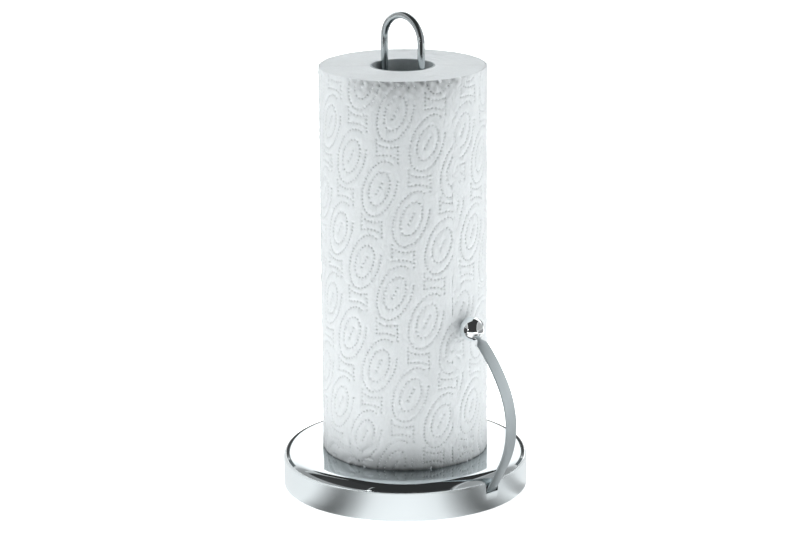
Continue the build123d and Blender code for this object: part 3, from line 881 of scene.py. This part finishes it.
class HOLDER_OT_stage(bpy.types.Operator):
    """Set up the camera, the soft studio light and the pale floor"""

    bl_idname = "holder.stage"
    bl_label = "Studio stage"

    def execute(self, context):
        stage = settings().stage
        self.place_camera(context, stage)
        self.light_world(context, stage)
        self.lay_floor(stage)
        self.hang_lights(stage)
        self.hang_cards(stage)
        context.scene.view_settings.view_transform = "Standard"
        return {"FINISHED"}

    def place_camera(self, context, stage):
        """The camera, which looks a little down."""
        data = bpy.data.cameras.new("camera")
        data.lens = stage.lens
        data.sensor_width = 36
        data.clip_start, data.clip_end = 0.05, 50
        camera = bpy.data.objects.new("camera", data)
        camera.location = spot(stage, 0, stage.distance, stage.height)
        camera.rotation_mode = "QUATERNION"
        heading = Matrix.Rotation(stage.azimuth + stage.aside, 3, "Z")
        tilt = Matrix.Rotation(pi / 2 - stage.pitch, 3, "X")
        camera.rotation_quaternion = (heading @ tilt @ Matrix.Rotation(stage.roll, 3, "Z")).to_quaternion()
        context.scene.collection.objects.link(camera)
        context.scene.camera = camera

    def light_world(self, context, stage):
        """An even, slightly cool sky."""
        world = bpy.data.worlds.new("sky")
        world.use_nodes = True
        background = world.node_tree.nodes["Background"]
        background.inputs["Color"].default_value = (0.9, 0.98, 1.0, 1)
        background.inputs["Strength"].default_value = stage.sky
        context.scene.world = world

    def lay_floor(self, stage):
        """A pale round floor that glows a little, like a light table."""
        white = Finish(
            "floor_white", Roughness=0.9, Specular_IOR_Level=0.0, Emission_Strength=1.0,
            Base_Color=(0.92, 0.92, 0.92, 1),
        )
        graph = white.graph
        away = graph.vector_math("LENGTH", graph.place(), output="Value")
        seen = graph.add("ShaderNodeLightPath", output="Is Camera Ray")
        near = graph.math("MAXIMUM", 1 - graph.between(0.1, 0.9, away), seen)
        white.set(Emission_Color=graph.blend(near, (stage.far_glow,) * 3, (stage.near_glow,) * 3))
        angles = round_angles(64)
        points, faces = turned([(0.2, 0), (9, 0)], angles)
        faces.append(tuple(reversed(range(len(angles)))))
        floor = new_piece("floor", points, [tuple(reversed(face)) for face in faces], [white.material])

    def hang_lights(self, stage):
        """Two tall soft boxes beside the holder, and one overhead that leaves no glint in the steel."""
        self.hang_light("left_box", stage.left_light, (1.1, 1.6), spot(stage, -78, 2.7, 0.9))
        self.hang_light("right_box", stage.right_light, (1.1, 1.6), spot(stage, 82, 2.7, 0.9))
        top_box = self.hang_light("top_box", stage.top_light, (1.0, 1.0), (0, 0, 2.3))
        top_box.visible_glossy = False

    def hang_light(self, name, power, size, place):
        """One soft box that faces the holder."""
        data = bpy.data.lights.new(name, "AREA")
        data.shape, data.energy = "RECTANGLE", power
        data.size, data.size_y = size
        light = bpy.data.objects.new(name, data)
        light.location = place
        aim = Vector((0, 0, 0.15)) - light.location
        light.rotation_mode = "QUATERNION"
        light.rotation_quaternion = aim.to_track_quat("-Z", "Y")
        bpy.context.scene.collection.objects.link(light)
        return light

    def hang_cards(self, stage):
        """Screens that only show in the steel, and give it contrast. Angles are in degrees to the right
        of the camera and above the floor, and the last number says how sharp the sides are."""
        points = [spot_over(stage, 2.2, aside, over) for over, aside in patch((-7, 128), (-41, 46))]
        self.hang("front_screen", 0.045, 60, points)
        for name, headings, elevations, radius, tone, sharpness in (
            ("left_screen", (-125, -36), (-7, 30), 2.4, 0.45, 12),
            ("left_high_screen", (-125, -36), (30, 62), 2.4, 0.6, 12),
            ("right_screen", (40, 125), (-7, 62), 2.4, 0.46, 12),
            ("back_screen", (125, 235), (12, 50), 2.4, 1.75, 6),
            ("back_low_screen", (140, 220), (-7, 9), 2.4, 0.08, 12),
            ("lamp", (-36, -32), (4, 8), 2.1, 9.0, 12),
        ):
            points = [spot_on_dome(stage, radius, h, e) for e, h in patch(elevations, headings)]
            self.hang(name, tone, sharpness, points)
        for name, headings, reach, tone, sharpness in (
            ("front_floor_screen", (-48, 50), (0.46, 2.2), 0.05, 40),
            ("left_far_floor_screen", (-125, -52), (0.8, 1.6), 0.3, 5),
            ("right_far_floor_screen", (50, 125), (0.8, 1.6), 0.3, 5),
            ("far_left_floor_screen", (-150, -62), (0.083, 0.45), 1.0, 5),
            ("left_floor_screen", (-62, -21), (0.083, 0.25), 0.06, 1.5),
            ("near_floor_screen", (-21, 20), (0.083, 0.45), 1.2, 2),
            ("right_floor_screen", (20, 67), (0.083, 0.25), 0.06, 1.5),
            ("blade_floor_screen", (67, 86), (0.083, 0.25), 0.42, 3),
            ("right_outer_floor_screen", (50, 130), (0.27, 0.75), 0.3, 5),
            ("far_right_floor_screen", (86, 150), (0.083, 0.25), 1.0, 5),
            ("back_floor_screen", (150, 210), (0.12, 2.2), 0.15, 5),
        ):
            points = [spot(stage, h, r, 0.2 * MM) for r, h in patch(reach, headings)]
            self.hang(name, tone, sharpness, points)
        points = [spot_beside(stage, -0.1, ahead, z) for z, ahead in patch((0.038, 0.16), (0.03, 0.19))]
        self.hang("left_plate", 0.06, 60, points)

    def hang(self, name, tone, sharpness, points):
        """One screen of grid points, seen only by reflections, whose glow eases to white at its sides."""
        material = bpy.data.materials.new(name)
        material.use_nodes = True
        graph = Graph(material.node_tree)
        colour = graph.blend(graph.read("middle"), (CARD_WHITE,) * 3, (tone,) * 3)
        glow = graph.add("ShaderNodeEmission", None, {"Color": colour, "Strength": 1.0})
        graph.feed(material.node_tree.nodes["Material Output"].inputs["Surface"], glow)
        side = CARD_STEPS + 1
        screen = new_piece(name, points, grid_faces(side, side, round_columns=False), [material])
        mark(screen, "middle", np.tile(1 - np.abs(np.linspace(-1, 1, side)) ** sharpness, side))
        screen.visible_camera = screen.visible_diffuse = screen.visible_shadow = False
        screen.visible_transmission = screen.visible_volume_scatter = False


def patch(rows, columns):
    """A grid of (row value, column value) pairs between two pairs of limits."""
    shares = [i / CARD_STEPS for i in range(CARD_STEPS + 1)]
    return [
        (rows[0] + (rows[1] - rows[0]) * i, columns[0] + (columns[1] - columns[0]) * j)
        for i in shares
        for j in shares
    ]


def spot_on_dome(stage, radius, angle, elevation):
    """A place on a dome over the holder, in degrees to the right of the camera and above the floor."""
    rise = radians(elevation)
    return spot(stage, angle, radius * cos(rise), DOME_HEIGHT + radius * sin(rise))


def spot_over(stage, radius, aside, over):
    """A place on a dome, in degrees to the right of the camera's plane and from the front over the top."""
    right, ahead = radius * sin(radians(aside)), radius * cos(radians(aside))
    return spot_beside(
        stage, right, ahead * cos(radians(over)), DOME_HEIGHT + ahead * sin(radians(over))
    )


def spot_beside(stage, right, ahead, height):
    """A place so far to the right of the holder's axis and so far towards the camera."""
    c, s = cos(stage.azimuth), sin(stage.azimuth)
    return (right * c + ahead * s, right * s - ahead * c, height)


def spot(stage, angle, distance, height):
    """A place round the holder, at an angle in degrees to the right of the camera."""
    heading = stage.azimuth + radians(angle)
    return (distance * sin(heading), -distance * cos(heading), height)


class HOLDER_OT_base(bpy.types.Operator):
    """Build the steel shell of the base, with the arm's slot"""

    bl_idname = "holder.base"
    bl_label = "Base shell"

    def execute(self, context):
        base = settings().base
        half_slot = base.slot_width / 2 / base.radius
        angles = round_angles(240)
        count, columns = len(angles), round(half_slot / angles[1])
        angles[columns], angles[-columns] = half_slot, 2 * pi - half_slot
        flat_start, wall_top = base.radius - base.shoulder, base.top - base.shoulder
        heights = [base.skirt, base.skirt + 0.4 * MM, 7 * MM, base.slot_low, base.slot_high]
        slot_row = heights.index(base.slot_low)
        profile = [(base.radius, z) for z in (*heights, wall_top - 0.5 * MM)]
        profile += arc_points((flat_start, wall_top), base.shoulder, 0, 90, 18)
        profile += [(r, base.top) for r in (flat_start - 0.5 * MM, 60 * MM, 40 * MM, 20 * MM, 0.0)]
        points, faces = turned(profile, angles)
        in_slot = [slot_row * count + (i - columns) % count for i in range(2 * columns)]
        faces = [face for face in faces if face[0] not in in_slot]
        shell = welded(new_piece("base_shell_steel", points, faces, [shell_steel(base)]))
        self.face_up(shell)
        wall = shell.modifiers.new("wall", "SOLIDIFY")
        wall.thickness, wall.offset, wall.use_even_offset = base.wall, -1, True
        soften(shell, 0.18 * MM)
        hand_over(settled(shell), "stand", "polished_steel", "base_shell")
        return {"FINISHED"}

    def face_up(self, shell):
        """Turn the open sheet's faces so that they point out of the base."""
        middle = max(shell.data.polygons, key=lambda face: face.center.z)
        if middle.normal.z < 0:
            shell.data.flip_normals()


class HOLDER_OT_underside(bpy.types.Operator):
    """Build the grip pad, and finish the CAD pieces that close and fill the base"""

    bl_idname = "holder.underside"
    bl_label = "Underside and hidden pieces"

    def execute(self, context):
        base = settings().base
        rubber = grained("grip_rubber", (0.035, 0.035, 0.037), (0.02, 0.02, 0.021), 700, 0.1 * MM, 0.8)
        radius, top = PAD_HIGH.x, PAD_HIGH.z
        sole = 0.4 * MM
        profile = [(0, sole), (20 * MM, sole), (50 * MM, sole), (radius - 4 * MM, sole)]
        profile += [(radius - 3.4 * MM, 0), (radius - 0.8 * MM, 0)]
        profile += [(radius, 0.7 * MM), (radius, top), (0, top)]
        points, faces = turned(profile, round_angles(144))
        pad = welded(new_piece("grip_pad", points, faces, [rubber]))
        hand_over(pad, "stand", "rubber", "anti_slip_pad")
        studs = grip_studs(base, rubber)
        for point in studs.data.vertices:
            point.co.z = min(point.co.z, sole)
        hand_over(resmoothed(studs, 40), "stand", "rubber")
        self.finish_inside()
        return {"FINISHED"}

    def finish_inside(self):
        """Procedural finishes on the CAD pieces that stay."""
        plated = (
            "cover_screws", "flat_washers", "lock_washers", "spindle_nuts", "blade_rivets",
            "pivot_bracket", "bracket_screws", "hinge_pin",
        )
        for name, light, dark, scale, depth, roughness, metallic, nodes in (
            ("zinc_plate", (0.62, 0.64, 0.66), (0.45, 0.47, 0.5), 900, 0.03, 0.38, 1.0, plated),
            ("cast_zinc", (0.5, 0.51, 0.53), (0.36, 0.37, 0.39), 1300, 0.06, 0.5, 1.0, ["arm_lever"]),
            ("black_iron", (0.07, 0.07, 0.075), (0.03,) * 3, 420, 0.3, 0.7, 0.6, ["ballast_weight"]),
            ("black_plastic", (0.028, 0.028, 0.03), (0.018, 0.018, 0.02), 1500, 0.05, 0.55, 0.0,
             ["bottom_cover"]),
            ("spring_wire", (0.34, 0.35, 0.37), (0.2, 0.2, 0.22), 1700, 0.02, 0.3, 1.0,
             ["pin_clip", "torsion_spring"]),
        ):
            finish = grained(name, light, dark, scale, depth * MM, roughness, metallic)
            for node in nodes:
                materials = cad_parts[node].data.materials
                materials.clear()
                materials.append(finish)


class HOLDER_OT_spindle(bpy.types.Operator):
    """Bend the bright wire loop that carries the roll"""

    bl_idname = "holder.spindle"
    bl_label = "Spindle loop"

    def execute(self, context):
        spindle, base = settings().spindle, settings().base
        reach = LOOP_HIGH.x - spindle.wire
        leg_top = LOOP_HIGH.z - spindle.wire - reach
        stub = base.top - LOOP_LOW.z
        leg = leg_top - base.top
        straight = [(stub, 0, 4), (0.2 * MM, 0, 1), (leg - 0.2 * MM, 0, 60)]
        runs = [*straight, (pi * reach, pi, 72), *reversed(straight)]
        stations = walk(-reach, LOOP_LOW.z, 0.0, runs)
        whole = stations[-1][3]

        def section(distance):
            """The wire, or its thinner threaded end inside the base."""
            in_base = min(distance, whole - distance) <= stub + 1e-7
            radius = spindle.thread if in_base else spindle.wire
            return [(radius * cos(a), radius * sin(a)) for a in round_angles(40)]

        points, faces = swept(stations, section)
        loop = welded(new_piece("wire_loop", points, faces, [wire_steel(spindle)]))
        hand_over(loop, "stand", "polished_steel", "spindle_loop")
        return {"FINISHED"}


def arm_stations(arm, base):
    """Stations of the blade's middle line, from inside the base to the end of the tongue."""
    start = Vector((base.radius, arm.slot_height))
    start -= Vector((sin(arm.lean), cos(arm.lean))) * arm.below_slot
    tongue = arm.neck - (BALL_HIGH.y - BALL_LOW.y) / 2 + arm.tongue_depth
    bend, tip = arm.bend_radius * arm.bend, arm.tip_radius * arm.tip
    runs = [(arm.below_slot + arm.straight, 0, 20), (bend, -arm.bend, 60)]
    runs += [(tip - arm.taper_start, -(tip - arm.taper_start) / arm.tip_radius, 30)]
    runs += [(arm.taper_start, -arm.taper_start / arm.tip_radius, 6)]
    widest, narrowest = arm.width / 2, arm.tongue / 2
    rest = widest - narrowest - arm.taper_start
    runs += [(rest, 0, 4), (tongue - rest, 0, 8)]
    return walk(start.x, start.y, arm.lean, runs), arm.below_slot + arm.straight + bend + tip


class HOLDER_OT_arm(bpy.types.Operator):
    """Bend the satin blade and set the chromed ball on it"""

    bl_idname = "holder.arm"
    bl_label = "Arm and ball"

    def execute(self, context):
        arm, base = settings().arm, settings().base
        stations, neck_start = arm_stations(arm, base)

        def section(distance):
            """The blade's section, which narrows to the tongue before the ball."""
            past = max(0.0, distance - (neck_start - arm.taper_start))
            width = max(arm.tongue, arm.width - 2 * past)
            return rounded_bar(arm.thickness, width, arm.edge)

        points, faces = swept(stations, section)
        blade = welded(new_piece("spring_blade", points, faces, [satin_steel(arm)], smooth_below=50))
        hand_over(blade, "arm", "brushed_steel", "arm_blade")
        self.make_ball(arm, stations[-1][2])
        return {"FINISHED"}

    def make_ball(self, arm, heading):
        """The ball, with a pocket for the blade's tongue."""
        radius = (BALL_HIGH.y - BALL_LOW.y) / 2
        finish = ball_chrome(arm)
        outline = arc_points((0, 0), radius, -90, 90, 64)
        points, faces = turned(outline, round_angles(96))
        place = Matrix.Translation(BALL_CENTRE) @ Matrix.Rotation(heading, 4, "Y")
        ball = welded(new_piece("chrome_ball", points, faces, [finish]))
        ball.data.transform(place)
        thick, wide = arm.thickness + 2 * arm.pocket, arm.tongue + 2 * arm.pocket
        ends = (-radius - 2 * MM, -radius + arm.tongue_depth + arm.pocket)
        outline = rounded_bar(thick, wide, 0.45 * thick)
        points = [(x, y, z) for z in ends for x, y in outline]
        count = len(outline)
        faces = grid_faces(2, count) + [tuple(range(count - 1, -1, -1)), tuple(range(count, 2 * count))]
        cutter = welded(new_piece("pocket", points, faces, [finish]))
        cutter.data.transform(place)
        cut = ball.modifiers.new("pocket", "BOOLEAN")
        cut.operation, cut.object, cut.solver = "DIFFERENCE", cutter, "EXACT"
        resmoothed(settled(ball), 40)
        bpy.data.objects.remove(cutter)
        hand_over(ball, "arm", "chrome", "arm_ball")


class HOLDER_OT_roll(bpy.types.Operator):
    """Wind the paper: the layered body, the sheet below the free edge and the outermost sheet"""

    bl_idname = "holder.roll"
    bl_label = "Paper roll"

    def execute(self, context):
        paper = settings().paper
        finish = towel_paper(paper, "towel_paper", True)
        core_radius, outer = CORE_HIGH.y, -ROLL_LOW.x
        self.wind_body(paper, core_radius, outer)
        seam = paper.edge_angle + paper.wrap
        remaining = 2 * pi - paper.wrap
        lap = radians(6)
        seam_to_front = (FRONT + 2 * pi - seam) * outer
        touch = (-paper.edge_angle * outer, BALL_CENTRE.z - ROLL_LOW.z)
        under = embossed_sheet(
            "inner_sheet", paper, finish, seam, remaining + lap, outer, (96.6 * MM, 220 * MM),
            [((47 * MM, 6 * MM), 16 * MM, 9, 0.6 * MM), ((28 * MM, 14 * MM), 11 * MM, 7, 0.4 * MM)],
            seam_to_front, 0.0, 3,
        )
        hand_over(under, "roll_paper", "paper")
        over = embossed_sheet(
            "outer_sheet", paper, finish, paper.edge_angle, paper.wrap, outer + paper.sheet * 0.4,
            (8.4 * MM, 225 * MM),
            [(touch, 10 * MM, 8, 0.35 * MM), ((14 * MM, 5 * MM), 14 * MM, 8, 0.5 * MM)],
            (FRONT - paper.edge_angle) * outer, 0.3 * MM, 4,
        )
        hand_over(over, "roll_paper", "paper", "tail_sheet")
        return {"FINISHED"}

    def wind_body(self, paper, core_radius, outer):
        """The body of the roll, with the paper's edges on both end faces."""
        finish = towel_paper(paper, "paper_edges", False)
        inner, skin = core_radius + 0.1 * MM, outer - 0.5 * MM
        low, high = ROLL_LOW.z + 0.9 * MM, ROLL_HIGH.z - 0.9 * MM
        outline = [(inner, low), (skin, low), (skin, high), (inner, high), (inner, low)]
        points, faces = turned(outline, round_angles(180))
        body = welded(new_piece("paper_winding", points, faces, [finish]))
        hand_over(body, "roll_paper", "wound_paper", "paper_roll")
        layers = paper_layers(paper, finish, inner + 0.2 * MM, outer - 0.45 * MM)
        hand_over(resmoothed(layers, 50), "roll_paper", "wound_paper")


class HOLDER_OT_core(bpy.types.Operator):
    """Wind the cardboard core, with its spiral seam"""

    bl_idname = "holder.core"
    bl_label = "Cardboard core"

    def execute(self, context):
        paper = settings().paper
        outer, low, high = CORE_HIGH.y, CORE_LOW.z, CORE_HIGH.z
        bore, seam_pitch, seam_depth, seam_width = 20.2 * MM, 75 * MM, 0.25 * MM, 1.4 * MM
        rows, angles = np.linspace(high, low, 131), round_angles(144)
        points = []
        for z in rows:
            for a in angles:
                off = (z - low + seam_pitch * a / (2 * pi)) % seam_pitch
                off = min(off, seam_pitch - off)
                radius = bore + seam_depth * max(0.0, 1 - off / seam_width)
                points.append((radius * cos(a), radius * sin(a), z))
        edge = 0.3 * MM
        outside = [(outer - edge, low), (outer, low + edge), (outer, high - edge), (outer - edge, high)]
        points += [(r * cos(a), r * sin(a), z) for r, z in outside for a in angles]
        faces = grid_faces(len(rows) + len(outside), len(angles), round_rows=True)
        core = welded(new_piece("board_core", points, faces, [grey_board(paper)]))
        hand_over(core, "roll_core", "cardboard", "cardboard_core")
        return {"FINISHED"}


class HOLDER_PT_panel(bpy.types.Panel):
    """The holder's operators and settings"""

    bl_idname = "HOLDER_PT_panel"
    bl_label = "Paper Towel Holder"
    bl_space_type = "VIEW_3D"
    bl_region_type = "UI"
    bl_category = "Holder"

    def draw(self, context):
        for operator in OPERATORS:
            self.layout.operator(operator.bl_idname)
        for name in ("base", "spindle", "arm", "paper", "stage"):
            group = getattr(context.scene.holder, name)
            box = self.layout.box()
            box.label(text=name.capitalize())
            for key in group.__annotations__:
                box.prop(group, key)


OPERATORS = (
    HOLDER_OT_stage,
    HOLDER_OT_base,
    HOLDER_OT_underside,
    HOLDER_OT_spindle,
    HOLDER_OT_arm,
    HOLDER_OT_core,
    HOLDER_OT_roll,
)
SETTINGS = (BaseSettings, SpindleSettings, ArmSettings, PaperSettings, StageSettings, HolderSettings)


def register():
    """Add the classes and the scene's settings."""
    for item in (*SETTINGS, *OPERATORS, HOLDER_PT_panel):
        bpy.utils.register_class(item)
    bpy.types.Scene.holder = PointerProperty(type=HolderSettings)


def unregister():
    """Remove what register added."""
    del bpy.types.Scene.holder
    for item in reversed((*SETTINGS, *OPERATORS, HOLDER_PT_panel)):
        bpy.utils.unregister_class(item)


def main():
    register()
    for operator in OPERATORS:
        group, name = operator.bl_idname.split(".")
        getattr(getattr(bpy.ops, group), name)()


if __name__ == "__main__":
    main()
